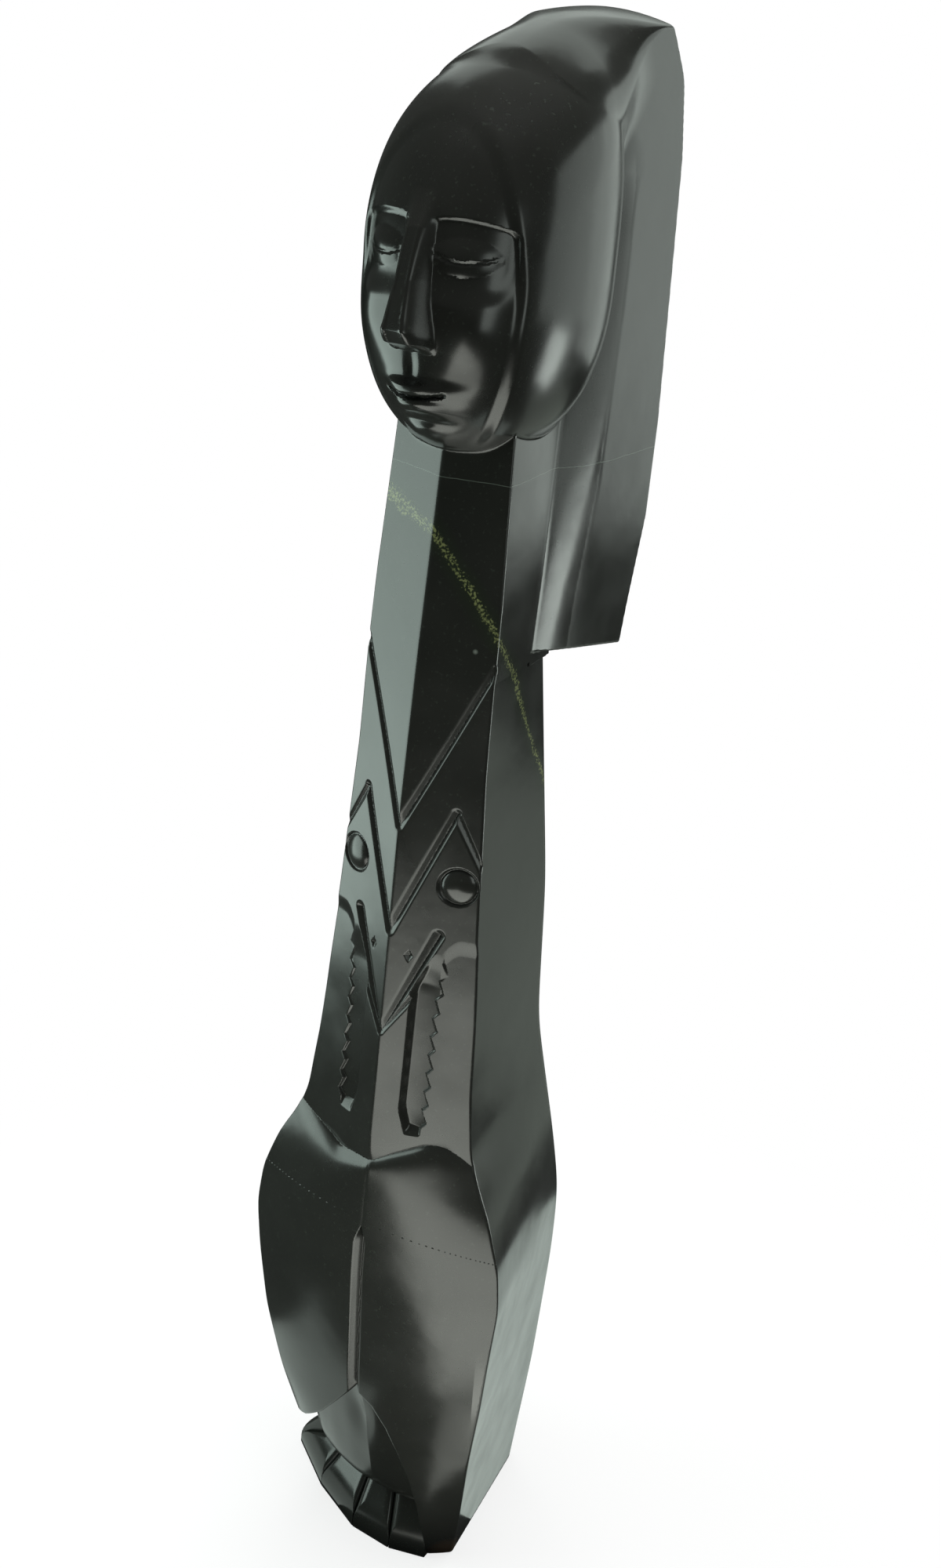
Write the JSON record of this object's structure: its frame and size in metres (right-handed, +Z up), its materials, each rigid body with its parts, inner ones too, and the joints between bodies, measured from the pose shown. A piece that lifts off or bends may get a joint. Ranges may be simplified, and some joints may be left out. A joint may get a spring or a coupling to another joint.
{
  "type": "carved ancestor figure",
  "caption": "Tall free-standing stone figure with an oval head, a straight fall of hair, a long neck, an engraved belly and folded legs over one foot.",
  "frame": {"origin": "on the resting face, in the plane of symmetry, under the middle of the block", "axes": "+Z up, the face looks along -Y, +X to the figure's left"},
  "size_m": [0.19, 0.2419, 1.0058],
  "materials": {
    "polished_serpentine": "hand-polished and waxed dark green-black serpentine"
  },
  "bodies": {
    "root": {"head": "polished_serpentine", "hair": "polished_serpentine", "neck": "polished_serpentine", "torso": "polished_serpentine", "haunch": "polished_serpentine", "left_leg": "polished_serpentine", "right_leg": "polished_serpentine", "instep": "polished_serpentine", "toe_1": "polished_serpentine", "toe_2": "polished_serpentine", "toe_3": "polished_serpentine", "toe_4": "polished_serpentine", "toe_5": "polished_serpentine", "left_boss": "polished_serpentine", "right_boss": "polished_serpentine", "left_jaw": "polished_serpentine", "right_jaw": "polished_serpentine"}
  },
  "joints": []
}
